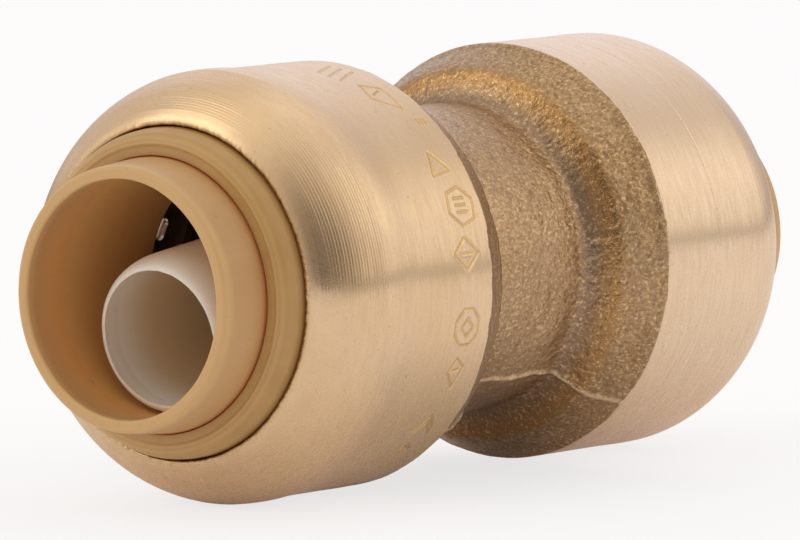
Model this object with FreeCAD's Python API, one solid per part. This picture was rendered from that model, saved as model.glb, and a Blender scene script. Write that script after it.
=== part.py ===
import FreeCAD, Part
import math
import os

# Straight push-fit tube coupling, brass, for 12.7 mm outside diameter tube.
# Frame: millimetres, X along the waterway, Z up, origin at the middle of the
# coupling on the axis.  "Near" is the -X end, "far" is the +X end.
#
# Every piece but the ridges and the seal starts as an outline turned about X.
# A station (_S) is the distance inwards from the mouth plane of the release
# collar, so at the near end x = station - HALF.  A radius (_R) is from the axis.
# Outline rows are (station, radius), reached by a straight line, or
# (mid station, mid radius, station, radius), reached by an arc through the
# mid point.  The first row is a plain point, and the last joins back to it.

HALF = 25.6              # half of the overall length, collar mouth to collar mouth

ORIGIN = FreeCAD.Vector(0, 0, 0)
X_AXIS = FreeCAD.Vector(1, 0, 0)
Z_AXIS = FreeCAD.Vector(0, 0, 1)


def turn(outline):
    """Turn a closed outline at the near end about the X axis."""
    edges = []
    start = FreeCAD.Vector(outline[0][0] - HALF, outline[0][1], 0)
    for row in outline[1:] + outline[:1]:
        stops = [FreeCAD.Vector(row[i] - HALF, row[i + 1], 0)
                 for i in range(0, len(row), 2)]
        if len(stops) == 2:
            edges.append(Part.Arc(start, *stops).toShape())
        else:
            edges.append(Part.makeLine(start, stops[0]))
        start = stops[-1]
    face = Part.Face(Part.Wire(Part.__sortEdges__(edges)))
    return face.revolve(ORIGIN, X_AXIS, 360)


def refined(shape):
    """The single solid of a shape, with its split faces merged."""
    return shape.removeSplitter().Solids[0]


def turned_copy(shape, axis):
    """A copy given half a turn about an axis through the origin."""
    copy = shape.copy()
    copy.rotate(ORIGIN, axis, 180)
    return copy


def far_copy(shape):
    """The same piece at the far end: half a turn about Z keeps Z up."""
    return turned_copy(shape, Z_AXIS)


def export(name, shape):
    shape.Solids[0].exportStep("parts/%s.step" % name)


# ---------------------------------------------------------------- brass body
# outside
BARREL_R = 11.70         # turned barrel
BARREL_S = 8.25          # start of its full radius
LIP_R = 9.03             # inner edge of the lip that is rolled over the cartridge
LIP_S = 4.45             # front of the rolled lip
LIP_FACE_R = 9.32        # outer edge of the lip's flat front
LIP_CHAMFER = 0.12
FORGE_S = 17.63          # where the turned barrel meets the as-forged shoulder
NECK_S = 21.80           # where the shoulder's foot fillet meets the neck
NECK_R = 8.70            # as-forged neck

# inside
LIP_BACK_S = 5.60        # back of the lip's bore
CAVITY_R = 9.95          # cartridge cavity
CAVITY_S = 6.55          # start of its full radius
GLAND_S = 14.15          # step down to the seal gland
GLAND_R = 9.25
GLAND_END_S = 17.45      # bottom of the seal gland
SOCKET_R = 6.55          # tube socket beyond the seal
SOCKET_CHAMFER = 0.35
STOP_S = 24.15           # tube stop
STOP_R = 4.60            # waterway through the stop
STOP_CHAMFER = 0.3

# As-forged waist, from the barrel's end to the middle, in outline rows.
WAIST = [
    (FORGE_S + 0.02, BARREL_R - 0.08),
    (18.80, 11.12, 19.95, 10.56),      # shoulder's outer slope
    (20.17, 10.43, 20.31, 10.20),      # rounded knee
    (20.86, 9.25),                     # steep inner face
    (21.21, 8.855, NECK_S, NECK_R),    # foot fillet
    (HALF, NECK_R),
]

# Ridges left along the forging dies' parting plane, on the waist only.
FLASH_W = 0.50
FLASH_H = 0.32
FLASH_ANGLE = 43.0       # direction of the first ridge, degrees from -Y towards -Z
FLASH_ROOT_R = 8.2       # sunk below the neck's surface
FLASH_SLAB_L = 60        # slab and cylinder that trim the ridge
FLASH_SLAB_H = 14


def body_half():
    outline = [
        (LIP_S, LIP_FACE_R),
        (LIP_S + 0.09, 9.60, LIP_S + 0.32, 9.86),
        (6.55, 11.24, BARREL_S, BARREL_R),
        (FORGE_S, BARREL_R),
    ] + WAIST + [
        (HALF, STOP_R),
        (STOP_S + STOP_CHAMFER, STOP_R),
        (STOP_S, STOP_R + STOP_CHAMFER),
        (STOP_S, SOCKET_R),
        (GLAND_END_S + SOCKET_CHAMFER, SOCKET_R),
        (GLAND_END_S, SOCKET_R + SOCKET_CHAMFER),
        (GLAND_END_S, GLAND_R),
        (GLAND_S, GLAND_R),
        (GLAND_S, CAVITY_R),
        (CAVITY_S, CAVITY_R),
        (LIP_BACK_S, LIP_R),
        (LIP_S + LIP_CHAMFER, LIP_R),
        (LIP_S, LIP_R + LIP_CHAMFER),
    ]
    return turn(outline)


def flash_ridge():
    """One thin ridge along both halves of the waist."""
    # Odd places in a row are radii.
    raised = [tuple(value + FLASH_H * (i % 2) for i, value in enumerate(row))
              for row in WAIST]
    half = turn(raised + [(HALF, FLASH_ROOT_R), (WAIST[0][0], FLASH_ROOT_R)])
    slab = Part.makeBox(FLASH_SLAB_L, FLASH_W, FLASH_SLAB_H,
                        FreeCAD.Vector(-FLASH_SLAB_L / 2, -FLASH_W / 2, 0))
    # The slab stands along +Z; a quarter turn about X lays it along -Y.
    slab.rotate(ORIGIN, X_AXIS, 90 + FLASH_ANGLE)
    # The ridge is cut off flush with the barrel.
    barrel = Part.makeCylinder(BARREL_R, FLASH_SLAB_L,
                               FreeCAD.Vector(-FLASH_SLAB_L / 2, 0, 0), X_AXIS)
    near, far = [side.common(slab).common(barrel) for side in (half, far_copy(half))]
    return near.fuse(far)


def brass_body():
    half = body_half()
    ridge = flash_ridge()
    body = half.fuse(far_copy(half))
    return refined(body.fuse(ridge).fuse(turned_copy(ridge, X_AXIS)))


# ---------------------------------------------------------------- retainer ring
CARTRIDGE_R = CAVITY_R - 0.07   # retainer ring and spacer, clear of the cavity

RET_FRONT_S = 3.12       # inner edge of its face
RET_IN_R = 7.55          # bore the release collar slides in
RET_NOSE_R = 8.88        # part inside the rolled lip
RET_SHOULDER_S = 6.20    # shoulder that keeps the collar's flange in
RET_CBORE_R = 8.60
RET_END_S = 9.53


def retainer_ring():
    return refined(turn([
        (RET_FRONT_S, RET_IN_R),
        (RET_FRONT_S + 0.02, RET_IN_R + 0.10),
        (3.62, 8.50),                            # sloping face
        (3.80, 8.74, 4.12, RET_NOSE_R),          # rounded outer edge
        (LIP_BACK_S + 0.10, RET_NOSE_R),
        (CAVITY_S + 0.12, CARTRIDGE_R),
        (RET_END_S, CARTRIDGE_R),
        (RET_END_S, RET_CBORE_R),
        (RET_SHOULDER_S, RET_CBORE_R),
        (RET_SHOULDER_S, RET_IN_R),
    ]))


# ---------------------------------------------------------------- release collar
COL_R = 7.43
COL_FRONT_R = 7.16       # the exposed end has draft
COL_DRAFT_S = 3.00
COL_EDGE = 0.32          # rounded outer front edge
COL_EDGE_MID = COL_EDGE * 0.29   # inset of the middle of that rounding
COL_LAND_R = 6.45        # mouth land that guides the tube
COL_LAND_END_S = 1.10
COL_LAND_RAMP = 0.17     # length of the slope behind the land
COL_MOUTH_EDGE = 0.12    # rounded inner front edge
COL_MOUTH_EDGE_MID = 0.035
COL_BORE_R = 6.62        # bore behind the land
COL_BORE_S = 5.50        # from here it narrows a little towards the inner end
COL_BORE_END_R = 6.54
COL_FLANGE_R = 8.45
COL_FLANGE_S = 6.26
COL_FLANGE_END_S = 7.30
COL_FLANGE_CHAMFER = 0.2
COL_NOSE_R = 6.68
COL_TAPER_S = 8.00
COL_END_S = 10.75


def release_collar():
    return refined(turn([
        (0, COL_FRONT_R - COL_EDGE),
        (COL_EDGE_MID, COL_FRONT_R - COL_EDGE_MID, COL_EDGE, COL_FRONT_R),
        (COL_DRAFT_S, COL_R),
        (COL_FLANGE_S, COL_R),
        (COL_FLANGE_S, COL_FLANGE_R),
        (COL_FLANGE_END_S - COL_FLANGE_CHAMFER, COL_FLANGE_R),
        (COL_FLANGE_END_S, COL_FLANGE_R - COL_FLANGE_CHAMFER),
        (COL_FLANGE_END_S, COL_R),
        (COL_TAPER_S, COL_R),
        (COL_END_S, COL_NOSE_R),
        (COL_END_S, COL_BORE_END_R),
        (COL_BORE_S, COL_BORE_R),
        (COL_LAND_END_S + COL_LAND_RAMP, COL_BORE_R),
        (COL_LAND_END_S, COL_LAND_R),
        (COL_MOUTH_EDGE, COL_LAND_R),
        (COL_MOUTH_EDGE_MID, COL_LAND_R + COL_MOUTH_EDGE_MID, 0, COL_LAND_R + COL_MOUTH_EDGE),
    ]))


# ---------------------------------------------------------------- grab ring
GRAB_RIM_S = 9.60
GRAB_T = 0.30
GRAB_R = 9.80
GRAB_RIM_IN_R = 8.85
GRAB_TIP_R = 6.28
GRAB_TIP_S = 10.98
GRAB_TIP_T = GRAB_T * 0.9       # the teeth thin a little towards their tips
GRAB_TEETH = 16
GRAB_SLOT_DEG = 11.0            # slot width as an angle at the tips
GRAB_PHASE_DEG = -10.0
GRAB_SLOT_GAP = 0.15            # from a slot's round end to the rim's inner edge
GRAB_CUTTER_S = GRAB_RIM_S - 0.8
GRAB_CUTTER_L = 4
GRAB_CUTTER_IN_R = 4.0


def grab_slot():
    """Cutter for one slot between teeth, along +Z, with a round outer end."""
    width = 2 * GRAB_TIP_R * math.tan(math.radians(GRAB_SLOT_DEG / 2))
    end_r = GRAB_RIM_IN_R - width / 2 - GRAB_SLOT_GAP
    cutter_x = GRAB_CUTTER_S - HALF
    slot = Part.makeBox(GRAB_CUTTER_L, width, end_r - GRAB_CUTTER_IN_R,
                        FreeCAD.Vector(cutter_x, -width / 2, GRAB_CUTTER_IN_R))
    return slot.fuse(Part.makeCylinder(width / 2, GRAB_CUTTER_L,
                                       FreeCAD.Vector(cutter_x, 0, end_r), X_AXIS))


def grab_ring():
    """Flat rim with teeth that slope inwards to the tube."""
    run = GRAB_TIP_S - GRAB_RIM_S
    drop = GRAB_RIM_IN_R - GRAB_TIP_R
    slope = math.hypot(run, drop)
    ring = turn([
        (GRAB_RIM_S, GRAB_R),
        (GRAB_RIM_S, GRAB_RIM_IN_R),
        (GRAB_TIP_S, GRAB_TIP_R),
        (GRAB_TIP_S + drop / slope * GRAB_TIP_T, GRAB_TIP_R + run / slope * GRAB_TIP_T),
        (GRAB_RIM_S + GRAB_T, GRAB_RIM_IN_R + 0.06),
        (GRAB_RIM_S + GRAB_T, GRAB_R),
    ])
    for i in range(GRAB_TEETH):
        slot = grab_slot()
        slot.rotate(ORIGIN, X_AXIS, 360.0 * i / GRAB_TEETH + GRAB_PHASE_DEG)
        ring = ring.cut(slot)
    return refined(ring)


# ---------------------------------------------------------------- seal spacer
# Lies between the grab ring and the seal.
SPC_S = 10.02
SPC_END_S = 14.05
SPC_MOUTH_R = 9.10
SPC_BORE_R = 6.62
SPC_BORE_S = 13.30


def seal_spacer():
    return refined(turn([
        (SPC_S, SPC_MOUTH_R),
        (SPC_S + 0.45, SPC_MOUTH_R - 0.05),
        (SPC_BORE_S - 0.15, 7.45),               # foot of the funnel
        (SPC_BORE_S, SPC_BORE_R),
        (SPC_END_S, SPC_BORE_R),
        (SPC_END_S, CARTRIDGE_R),
        (SPC_S, CARTRIDGE_R),
    ]))


# ---------------------------------------------------------------- seal
ORING_R = 7.67           # mean radius
ORING_SECTION = 2.95     # diameter of the section
ORING_S = 15.82


def o_ring():
    return Part.makeTorus(ORING_R, ORING_SECTION / 2,
                          FreeCAD.Vector(ORING_S - HALF, 0, 0), X_AXIS)


# ---------------------------------------------------------------- tube liner
LINER_R = 4.45           # slides inside a tube of 12.7 mm outside, 9 mm inside
LINER_IN_R = 4.00
LINER_TIP_S = 3.13
LINER_TIP_R = 3.76       # the tip is drawn in to a rounded nose
LINER_TIP_IN_R = 3.70
LINER_NOSE_S = 5.06      # where the nose reaches the full radius
LINER_PIVOT_S = 22.90    # middle of the flange
LINER_FLANGE_R = 6.20
LINER_FLANGE_T = 0.90
LINER_FLANGE_S = LINER_PIVOT_S - LINER_FLANGE_T / 2
LINER_END_S = LINER_PIVOT_S + LINER_FLANGE_T / 2
LINER_ROOT = 0.5         # sloped corner between the tube and the flange
LINER_CHAMFER = 0.3      # bore's inner end
LINER_DROOP_DEG = 6.80   # the loose liner hangs down inside the collar


def tube_liner():
    liner = turn([
        (LINER_TIP_S, LINER_TIP_R),
        (3.42, 4.115, 3.90, 4.305),              # nose, in two arcs
        (4.45, 4.412, LINER_NOSE_S, LINER_R),
        (LINER_FLANGE_S - LINER_ROOT, LINER_R),
        (LINER_FLANGE_S, LINER_R + LINER_ROOT),
        (LINER_FLANGE_S, LINER_FLANGE_R),
        (LINER_END_S, LINER_FLANGE_R),
        (LINER_END_S, LINER_IN_R + LINER_CHAMFER),
        (LINER_END_S - LINER_CHAMFER, LINER_IN_R),
        (LINER_NOSE_S, LINER_IN_R),
        (LINER_TIP_S, LINER_TIP_IN_R),
    ])
    # A positive turn about -Y takes the mouth end down.
    liner.rotate(FreeCAD.Vector(LINER_PIVOT_S - HALF, 0, 0),
                 FreeCAD.Vector(0, -1, 0), LINER_DROOP_DEG)
    return refined(liner)


# ---------------------------------------------------------------- files
os.makedirs("parts", exist_ok=True)
export("brass_body", brass_body())
for build in (release_collar, retainer_ring, grab_ring, seal_spacer, o_ring, tube_liner):
    piece = build()
    export("near_" + build.__name__, piece)
    export("far_" + build.__name__, far_copy(piece))
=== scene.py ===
"""Looks of a straight push-fit tube coupling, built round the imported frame.

The coupling lies along X with its middle at the origin; the near end points to -X. Profiles
are (s, r) pairs in mm: s runs along the axis from the near collar's outer face, r is the
distance from the axis. theta goes round the axis from -Y towards +Z. A far-end part is its
near-end twin given half a turn about Z.
"""

import bmesh
import bpy
import math
import numpy as np
from mathutils import Matrix, Vector


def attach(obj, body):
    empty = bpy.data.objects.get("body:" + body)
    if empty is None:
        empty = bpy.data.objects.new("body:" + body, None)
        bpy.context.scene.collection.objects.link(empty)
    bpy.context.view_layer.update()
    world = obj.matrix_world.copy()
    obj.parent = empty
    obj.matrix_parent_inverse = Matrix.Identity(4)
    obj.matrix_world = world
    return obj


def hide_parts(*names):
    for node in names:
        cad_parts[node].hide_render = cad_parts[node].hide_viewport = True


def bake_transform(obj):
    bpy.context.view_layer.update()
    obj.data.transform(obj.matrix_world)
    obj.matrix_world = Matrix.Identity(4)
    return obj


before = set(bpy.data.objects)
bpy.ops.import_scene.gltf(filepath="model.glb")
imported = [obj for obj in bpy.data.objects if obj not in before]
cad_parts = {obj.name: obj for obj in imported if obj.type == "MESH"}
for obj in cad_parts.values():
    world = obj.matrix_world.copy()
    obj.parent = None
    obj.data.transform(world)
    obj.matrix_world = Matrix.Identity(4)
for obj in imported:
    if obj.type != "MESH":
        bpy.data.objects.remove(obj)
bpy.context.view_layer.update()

MM = 0.001                  # metres in a millimetre
HALF = 25.6                 # half the length over both collars
HALF_TURN = np.array([-1, -1, 1])       # half a turn about Z

# Body sizes shared by several sections, mm
BARREL_R = 11.70            # turned barrel
LIP_R = 9.03                # bore at the mouth
NECK_R = 8.70               # forged waist at mid length


# ------------------------------------------------------------------ curves and noise
def ease(low, high, value):
    """Smooth step from 0 at low to 1 at high."""
    t = np.clip((value - low) / (high - low), 0, 1)
    return t * t * (3 - 2 * t)


def bell(value, centre, width):
    return np.exp(-((value - centre) / width) ** 2)


def lattice_value(cell, seed):
    """Repeatable random value in [-1, 1] for each whole-number cell (N, 3)."""
    ix, iy, iz = cell.T
    h = (ix * 73856093) ^ (iy * 19349663) ^ (iz * 83492791) ^ (seed * 2654435761)
    h &= 0xFFFFFFFF
    h = ((h ^ (h >> 13)) * 1274126177) & 0xFFFFFFFF
    h ^= h >> 16
    return (h & 0xFFFF).astype(float) / 32767.5 - 1.0


def noise3(points, scale, seed):
    """Smooth lattice noise in [-1, 1] at points (N, 3), feature size 1/scale."""
    place = points * scale + 1000.0
    cell = np.floor(place).astype(np.int64)
    f = place - cell
    weight = f * f * f * (f * (f * 6 - 15) + 10)
    total = np.zeros(len(place))
    for corner in np.ndindex(2, 2, 2):
        share = np.prod(np.where(corner, weight, 1 - weight), axis=1)
        total += share * lattice_value(cell + np.array(corner), seed)
    return total


def ring_noise(theta, radius, scale, seed):
    """The same noise sampled round a circle, so it closes on itself."""
    circle = [np.zeros_like(theta), radius * np.cos(theta), radius * np.sin(theta)]
    return noise3(np.stack(circle, 1), scale, seed)


def ring_angles(count):
    return np.arange(count) * 2 * math.pi / count


def around(s, r, theta):
    """Points in mm at profile place (s, r) and angle theta."""
    s, r, theta = np.broadcast_arrays(s, r, theta)
    return np.stack([s - HALF, -r * np.cos(theta), r * np.sin(theta)], axis=-1)


# -------------------------------------------------------------------------- profiles
GUARD = 0.03                # distance of the guard points from the ends of a straight run


def round_corners(corners, segments, closed=True):
    """Outline of (s, r, fillet radius) corners with its corners rounded."""
    points = [np.array(corner[:2], float) for corner in corners]
    count = len(points)
    rounded = []
    for i, (_, _, fillet) in enumerate(corners):
        here = points[i]
        if fillet <= 0 or (not closed and i in (0, count - 1)):
            rounded.append(here)
            continue
        u, v = points[i - 1] - here, points[(i + 1) % count] - here
        length_u, length_v = np.linalg.norm(u), np.linalg.norm(v)
        u, v = u / length_u, v / length_v
        angle = math.acos(np.clip(u @ v, -1, 1))
        if angle > math.pi - 0.02:          # all but straight
            rounded.append(here)
            continue
        setback = min(fillet / math.tan(angle / 2), 0.45 * length_u, 0.45 * length_v)
        radius = setback * math.tan(angle / 2)
        centre = here + (u + v) / np.linalg.norm(u + v) * (radius / math.sin(angle / 2))
        first, last = (math.atan2(*(here + side * setback - centre)[::-1]) for side in (u, v))
        turn = (last - first + math.pi) % (2 * math.pi) - math.pi
        for k in range(segments + 1):
            a = first + turn * k / segments
            rounded.append(centre + radius * np.array([math.cos(a), math.sin(a)]))
    return rounded


def densify(points, step, closed=True):
    """Extra points on long straight runs, with a guard point near each end."""
    dense = []
    count = len(points)
    for i in range(count if closed else count - 1):
        a, b = points[i], points[(i + 1) % count]
        dense.append(a)
        length = np.linalg.norm(b - a)
        if length < 4 * GUARD:
            continue
        inner = int(length / step)
        cuts = [k / (inner + 1) for k in range(1, inner + 1)]
        for cut in sorted([GUARD / length, *cuts, 1 - GUARD / length]):
            dense.append(a + (b - a) * cut)
    if not closed:
        dense.append(points[-1])
    return dense


def arc_points(start, middle, end, step):
    """Points from start to end on the circle through all three."""
    (ax, ay), (bx, by), (cx, cy) = start, middle, end
    d = 2 * (ax * (by - cy) + bx * (cy - ay) + cx * (ay - by))
    aa, bb, cc = ax**2 + ay**2, bx**2 + by**2, cx**2 + cy**2
    x = (aa * (by - cy) + bb * (cy - ay) + cc * (ay - by)) / d
    y = (aa * (cx - bx) + bb * (ax - cx) + cc * (bx - ax)) / d
    radius = math.hypot(ax - x, ay - y)
    first, mid, last = (math.atan2(q - y, p - x) for p, q in (start, middle, end))
    to_mid, span = (mid - first) % (2 * math.pi), (last - first) % (2 * math.pi)
    if to_mid > span:
        span -= 2 * math.pi
    count = max(2, int(abs(span) * radius / step))
    angles = [first + span * k / count for k in range(count + 1)]
    return [(x + radius * math.cos(a), y + radius * math.sin(a)) for a in angles]


# ---------------------------------------------------------------------------- meshes
def new_mesh(name, points, faces, flip):
    if flip:
        points = points * HALF_TURN
    mesh = bpy.data.meshes.new(name)
    mesh.from_pydata((points * MM).tolist(), [], faces)
    return mesh


def new_object(name, mesh):
    mesh.shade_smooth()
    ob = bpy.data.objects.new(name, mesh)
    bpy.context.scene.collection.objects.link(ob)
    return ob


class Loft:
    """A closed solid of rings round the X axis; a ring may double or halve the last count."""

    def __init__(self):
        self.rings = []
        self.tags = []

    def add(self, count, s, r, **tags):
        """One ring. Each tag becomes a point attribute."""
        self.rings.append(around(s, r, ring_angles(count)))
        self.tags.append({key: np.broadcast_to(np.asarray(value, float), (count,))
                          for key, value in tags.items()})

    def faces(self):
        faces = []
        counts = [len(ring) for ring in self.rings]
        starts = np.cumsum([0] + counts)
        for k, count in enumerate(counts):
            following = (k + 1) % len(counts)
            a, b, next_count = starts[k], starts[following], counts[following]
            j = np.arange(min(count, next_count))
            j1 = (j + 1) % len(j)
            if count == next_count:
                loop = [a + j, b + j, b + j1, a + j1]
            elif count < next_count:
                loop = [a + j, b + 2 * j, b + 2 * j + 1, b + 2 * j1, a + j1]
            else:
                loop = [a + 2 * j, b + j, b + j1, a + 2 * j1, a + 2 * j + 1]
            faces += np.stack(loop, 1).tolist()
        return faces

    def build(self, name, flip=False):
        mesh = new_mesh(name, np.concatenate(self.rings), self.faces(), flip)
        for key in sorted(set().union(*self.tags)):
            values = [tags.get(key, np.zeros(len(ring)))
                      for ring, tags in zip(self.rings, self.tags)]
            attribute = mesh.attributes.new(key, "FLOAT", "POINT")
            attribute.data.foreach_set("value", np.concatenate(values).astype(np.float32))
        mesh.update()
        return new_object(name, mesh)


def revolve(name, corners, count, step, segments, flip=False, warp=None, tags=None):
    """Solid of revolution from (s, r, fillet) corners.

    tags(s, r) gives the attributes of a ring, warp(theta, s, r) its displaced place.
    """
    loft = Loft()
    theta = ring_angles(count)
    for s, r in densify(round_corners(corners, segments), step):
        ring_tags = tags(s, r) if tags else {}
        if warp:
            s, r = warp(theta, s, r)
        loft.add(count, s, r, **ring_tags)
    return loft.build(name, flip)


# ---------------------------------------------------------------------- shader trees
class Tree:
    """Short calls that add nodes to a shader tree and return their output sockets."""

    def __init__(self, owner):
        owner.use_nodes = True
        self.tree = owner.node_tree
        self.tree.nodes.clear()

    def put(self, socket, value):
        """Link a socket, or set a plain value; colours are given without alpha."""
        if isinstance(value, bpy.types.NodeSocket):
            self.tree.links.new(value, socket)
        elif socket.type == "RGBA":
            socket.default_value = (*value, 1)
        else:
            socket.default_value = value

    def node(self, kind, inputs={}, **settings):
        node = self.tree.nodes.new(kind)
        for key, value in settings.items():
            setattr(node, key, value)
        for key, value in inputs.items():
            self.put(node.inputs[key], value)
        return node

    def math(self, operation, *values):
        inputs = dict(enumerate(values))
        return self.node("ShaderNodeMath", inputs, operation=operation).outputs[0]

    def add(self, a, b):
        return self.math("ADD", a, b)

    def sub(self, a, b):
        return self.math("SUBTRACT", a, b)

    def mul(self, a, b):
        return self.math("MULTIPLY", a, b)

    def fade(self, mask, off, on):
        """Value going from off to on as the mask goes from 0 to 1."""
        return self.add(self.mul(off, self.sub(1.0, mask)), self.mul(on, mask))

    def remap(self, value, span, to=(0, 1), curve="LINEAR"):
        inputs = {0: value, 1: span[0], 2: span[1], 3: to[0], 4: to[1]}
        return self.node("ShaderNodeMapRange", inputs, interpolation_type=curve).outputs[0]

    def mix(self, mask, base, over, blend="MIX"):
        return self.node("ShaderNodeMix", {0: mask, 6: base, 7: over}, data_type="RGBA",
                         blend_type=blend, clamp_factor=True).outputs[2]

    def tint(self, base, over, mask, strength):
        return self.mix(self.mul(mask, strength), base, over)

    def colour(self, name, value):
        node = self.node("ShaderNodeRGB", name=name)
        node.outputs[0].default_value = (*value, 1)
        return node.outputs[0]

    def split(self, vector):
        return self.node("ShaderNodeSeparateXYZ", {0: vector}).outputs

    def join(self, x, y, z):
        return self.node("ShaderNodeCombineXYZ", {0: x, 1: y, 2: z}).outputs[0]


class Surface(Tree):
    """A material with a Principled shader; textures use object coordinates in metres."""

    def __init__(self, name):
        self.mat = bpy.data.materials.new(name)
        super().__init__(self.mat)
        self.out = self.node("ShaderNodeOutputMaterial")
        self.bsdf = self.node("ShaderNodeBsdfPrincipled")
        self.put(self.out.inputs["Surface"], self.bsdf.outputs[0])
        self.place = self.node("ShaderNodeTexCoord").outputs["Object"]

    def shade(self, inputs):
        for label, value in inputs.items():
            self.put(self.bsdf.inputs[label], value)

    def attr(self, name):
        return self.node("ShaderNodeAttribute", attribute_name=name).outputs["Fac"]

    def stretch(self, scale, shift=(0, 0, 0)):
        inputs = {"Vector": self.place, "Scale": scale, "Location": shift}
        return self.node("ShaderNodeMapping", inputs).outputs[0]

    def noise(self, scale, detail=2, rough=0.5, at=None):
        inputs = {"Vector": at or self.place, "Scale": scale, "Detail": detail,
                  "Roughness": rough}
        return self.node("ShaderNodeTexNoise", inputs).outputs["Fac"]

    def specks(self, scale, detail, above):
        return self.math("GREATER_THAN", self.noise(scale, detail), above)

    def turning_lines(self, per_mm, shift, wobble):
        """Coordinates for irregular lathe lines, nearly constant round the axis."""
        x, y, z = self.split(self.place)
        _, y2, z2 = self.split(self.place)
        radius = self.math("SQRT", self.add(self.mul(y2, y2), self.mul(z2, z2)))
        # x and the radius together keep the pitch on the curved end
        along = self.sub(self.mul(x, 1000 * per_mm), self.mul(radius, 1000 * per_mm * 0.9))
        y, z = self.mul(y, 1000 * wobble), self.mul(z, 1000 * wobble)
        return self.join(self.add(along, shift), y, z)

    def relief(self, *layers):
        """Sum of (value, height in metres) layers."""
        scaled = [self.mul(value, height) for value, height in layers]
        total = scaled.pop()
        while scaled:
            total = self.add(scaled.pop(), total)
        return total

    def bump(self, height):
        inputs = {"Strength": 1.0, "Distance": 1.0, "Height": height}
        return self.node("ShaderNodeBump", inputs).outputs[0]


def scaled(colour, factor):
    return tuple(value * factor for value in colour)


# ------------------------------------------------------------------------- materials
def turned_brass(m, lines, sand, cut):
    """Colour of the machined skin, with painted light towards the far end."""
    big = m.noise(scale=210, detail=3, rough=0.55)
    blotch = m.noise(scale=700, detail=3, rough=0.6, at=m.stretch((1.0, 1, 1), (0.3, 0, 0)))
    yellow, deep_yellow = (0.860, 0.635, 0.408), (0.835, 0.600, 0.360)
    blotch_tone, painted_far_light = (0.83, 0.605, 0.395), (0.935, 0.725, 0.520)
    line_tone, sand_tone = (0.70, 0.48, 0.275), (0.60, 0.40, 0.22)
    speck_tone, torn_tone = (0.45, 0.29, 0.15), (0.56, 0.40, 0.25)
    cut_tone = (0.72, 0.45, 0.165)

    skin = m.mix(m.remap(big, span=(0.35, 0.68)), yellow, deep_yellow)
    skin = m.mix(m.remap(blotch, span=(0.45, 0.72), to=(0, 0.45)), skin, blotch_tone)
    # painted light: the skin is paler towards the far end, standing in for the brighter light
    # that falls there
    far_end_light = m.remap(m.split(m.place)[0], span=(-0.006, 0.012), to=(0.0, 0.75))
    skin = m.mix(far_end_light, skin, painted_far_light)
    skin = m.mix(m.remap(lines, span=(0.30, 0.72), to=(0.0, 0.27)), skin, line_tone)
    skin = m.mix(m.remap(sand, span=(0.52, 0.74), to=(0.0, 0.10)), skin, sand_tone)
    specks = m.specks(scale=2600, detail=2, above=0.735)
    skin = m.tint(skin, speck_tone, specks, strength=0.35)
    # engraved strokes and the ragged edge are a little deeper in colour
    skin = m.tint(skin, cut_tone, cut, strength=0.75)
    patchy = m.remap(m.noise(scale=6500), span=(0.35, 0.65), to=(0.35, 1.0))
    return m.tint(skin, torn_tone, m.attr("torn"), strength=patchy)


def forged_brass(m, along, grain):
    """Colour of the as-forged skin, with painted reflections, shade, light, glints and a
    highlight mixed in.
    """
    mid = m.noise(scale=2300, detail=3, rough=0.55, at=along)
    patch = m.noise(scale=240, detail=3, rough=0.6)
    scale_dark, scale_light = (0.290, 0.172, 0.080), (0.640, 0.425, 0.220)
    mid_tone, patch_tone = (0.350, 0.215, 0.110), (0.500, 0.345, 0.215)
    pit_tone, brown_reflection = (0.230, 0.130, 0.065), (0.500, 0.275, 0.105)
    bluish_reflection, painted_underside_shade = (0.335, 0.228, 0.170), (0.165, 0.085, 0.038)
    painted_waist_light, painted_glint_tone = (0.70, 0.485, 0.300), (0.88, 0.640, 0.360)
    ridge_highlight_tone = (0.760, 0.560, 0.350)

    skin = m.mix(m.remap(grain, span=(0.34, 0.66)), scale_dark, scale_light)
    skin = m.mix(m.remap(mid, span=(0.42, 0.72), to=(0, 0.55)), skin, mid_tone)
    skin = m.mix(m.remap(patch, span=(0.35, 0.7), to=(0, 0.4)), skin, patch_tone)
    skin = m.mix(m.remap(m.attr("pit"), span=(0, 1), to=(0, 0.55)), skin, pit_tone)
    # painted reflections either side of the shoulder's foot: brown and bluish bands for what the
    # steep wall and the fillet reflect of the other barrel and the dark gap
    for name, tone, strength in (("brown_reflection", brown_reflection, (0.95, 0.70)), ("blue_reflection", bluish_reflection, (0.80, 0.45))):
        amount = m.remap(mid, span=(0.3, 0.7), to=strength)
        skin = m.tint(skin, tone, m.attr(name), strength=amount)
    # painted shade: the forged skin darkens towards the bottom
    low = m.remap(m.split(m.place)[2], span=(-0.0085, 0.0030), to=(0.27, 0.0))
    skin = m.mix(low, skin, painted_underside_shade)
    # painted light: the forged skin is lighter at the waist between the barrels
    from_middle = m.math("ABSOLUTE", m.split(m.place)[0])
    skin = m.mix(m.remap(from_middle, span=(0.0030, 0.0046), to=(0.20, 0.0)), skin, painted_waist_light)
    # painted glints: bright golden specks in the forged grain
    glint_specks = m.noise(scale=6200, at=along)
    skin = m.mix(m.remap(glint_specks, span=(0.55, 0.68), to=(0, 0.62)), skin, painted_glint_tone)
    # painted highlight along the flash line on the parting ridge
    return m.tint(skin, ridge_highlight_tone, m.attr("ridge_highlight"), strength=0.85)


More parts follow.
